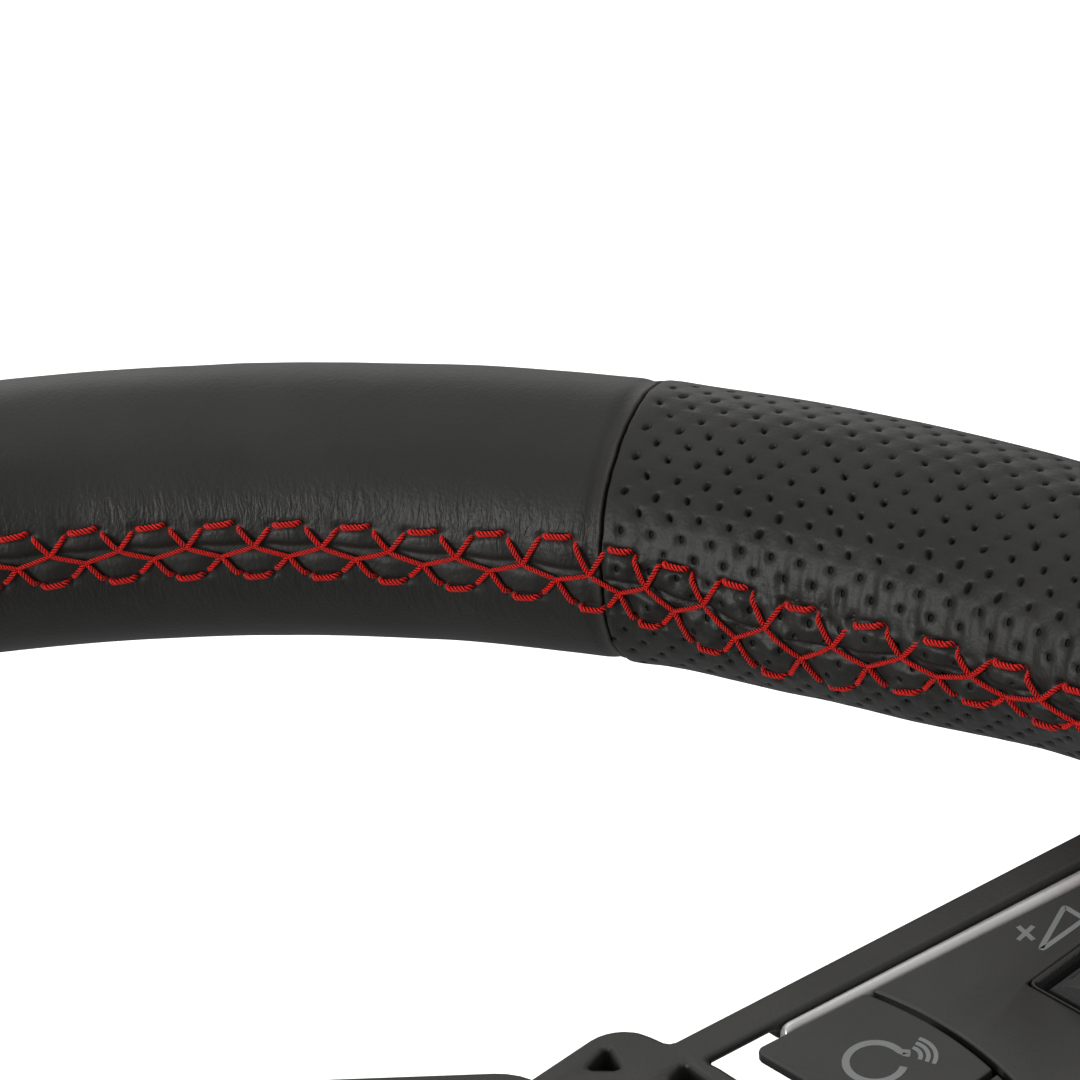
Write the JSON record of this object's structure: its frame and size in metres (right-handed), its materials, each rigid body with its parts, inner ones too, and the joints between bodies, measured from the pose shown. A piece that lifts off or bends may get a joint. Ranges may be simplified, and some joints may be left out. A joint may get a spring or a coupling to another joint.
{
  "type": "quick release steering wheel",
  "caption": "Leather-wrapped steering wheel with stitched grips, spoke switch panels and thumb rollers, on a splined quick release hub.",
  "frame": {"origin": "centre of the column face, on the wheel's axis", "axes": "+Z along the wheel's axis towards the driver, +Y to 12 o'clock, +X to 3 o'clock"},
  "size_m": [0.372, 0.372, 0.124],
  "materials": {
    "smooth_leather": "semi-gloss smooth leather, fine grain",
    "perforated_leather": "perforated leather, fine grain, semi-gloss",
    "red_thread": "twisted bonded thread",
    "grained_plastic": "fine grained soft-touch moulding",
    "panel_plastic": "smooth satin moulding",
    "horn_plastic": "fine grained moulding",
    "roller_rubber": "ribbed satin",
    "silver_trim": "satin silver paint on plastic",
    "black_plastic": "moulded",
    "anodised_silver": "turned, clear anodised",
    "anodised_black": "turned, black anodised",
    "anodised_red": "knurled, red anodised",
    "cast_alloy": "die cast, as cast",
    "spring_steel": "drawn wire and tube",
    "black_steel": "black oxide",
    "gold_contacts": "plated",
    "circuit_board": "solder mask",
    "silicone": "moulded silicone",
    "foam": "moulded integral foam"
  },
  "bodies": {
    "base": {"base_hub": "anodised_silver", "base_contact_block": "black_plastic", "contact_pads": "gold_contacts"},
    "wheel": {"release_hub": "anodised_black", "retaining_ring": "spring_steel", "lock_ring": "spring_steel", "collar_spring": "spring_steel", "pin_block": "black_plastic", "contact_pins": "gold_contacts", "hub_screws": "black_steel", "spider": "cast_alloy", "rim_core": "spring_steel", "rim_foam": "foam", "leather_top": "smooth_leather", "leather_bottom": "smooth_leather", "leather_grip_right": "perforated_leather", "leather_grip_left": "perforated_leather", "rim_stitching": "red_thread", "back_cover": "grained_plastic", "front_frame": "grained_plastic", "frame_posts": "anodised_silver", "frame_screws": "black_steel", "spoke_cover_right": "grained_plastic", "spoke_cover_left": "grained_plastic", "spoke_trim_right": "silver_trim", "spoke_trim_left": "silver_trim", "panel_right": "panel_plastic", "panel_left": "panel_plastic", "switch_board_right": "circuit_board", "switch_board_left": "circuit_board", "key_mat_right": "silicone", "key_mat_left": "silicone", "roller_axle_right": "spring_steel", "roller_axle_left": "spring_steel", "lower_spoke_cover": "grained_plastic", "lower_spoke_trim": "silver_trim", "horn_cup": "black_plastic", "horn_ring": "silver_trim", "horn_spring": "spring_steel", "horn_contact": "gold_contacts"},
    "collar": {"release_collar": "anodised_red"},
    "horn": {"horn_button": "horn_plastic"},
    "upper_key_right": {"upper_key_right": "panel_plastic"},
    "lower_key_right": {"lower_key_right": "panel_plastic"},
    "roller_right": {"roller_right": "roller_rubber"},
    "upper_key_left": {"upper_key_left": "panel_plastic"},
    "lower_key_left": {"lower_key_left": "panel_plastic"},
    "roller_left": {"roller_left": "roller_rubber"}
  },
  "joints": [
    {"name": "wheel_release", "type": "slide", "parent": "base", "child": "wheel", "axis": [0, 0, 1], "range_m": [0, 0.045], "deforming": ["lock_ring"]},
    {"name": "collar_slide", "type": "slide", "parent": "wheel", "child": "collar", "axis": [0, 0, 1], "range_m": [0, 0.007], "stiffness_N_per_m": 1500, "springref_m": -0.004, "deforming": ["collar_spring", "lock_ring"]},
    {"name": "horn_press", "type": "slide", "parent": "wheel", "child": "horn", "axis": [0, 0, -1], "range_m": [0, 0.002], "stiffness_N_per_m": 2500, "springref_m": -0.002, "deforming": ["horn_spring"]},
    {"name": "upper_key_right_press", "type": "slide", "parent": "wheel", "child": "upper_key_right", "axis": [0, 0, -1], "range_m": [0, 0.001], "stiffness_N_per_m": 900, "springref_m": -0.0005},
    {"name": "lower_key_right_press", "type": "slide", "parent": "wheel", "child": "lower_key_right", "axis": [0, 0, -1], "range_m": [0, 0.001], "stiffness_N_per_m": 900, "springref_m": -0.0005},
    {"name": "roller_right_turn", "type": "hinge", "parent": "wheel", "child": "roller_right", "pos_m": [0.1352, -0.01, 0.0932], "axis": [1, 0, 0], "continuous": true},
    {"name": "upper_key_left_press", "type": "slide", "parent": "wheel", "child": "upper_key_left", "axis": [0, 0, -1], "range_m": [0, 0.001], "stiffness_N_per_m": 900, "springref_m": -0.0005},
    {"name": "lower_key_left_press", "type": "slide", "parent": "wheel", "child": "lower_key_left", "axis": [0, 0, -1], "range_m": [0, 0.001], "stiffness_N_per_m": 900, "springref_m": -0.0005},
    {"name": "roller_left_turn", "type": "hinge", "parent": "wheel", "child": "roller_left", "pos_m": [-0.1352, -0.01, 0.0932], "axis": [1, 0, 0], "continuous": true}
  ]
}
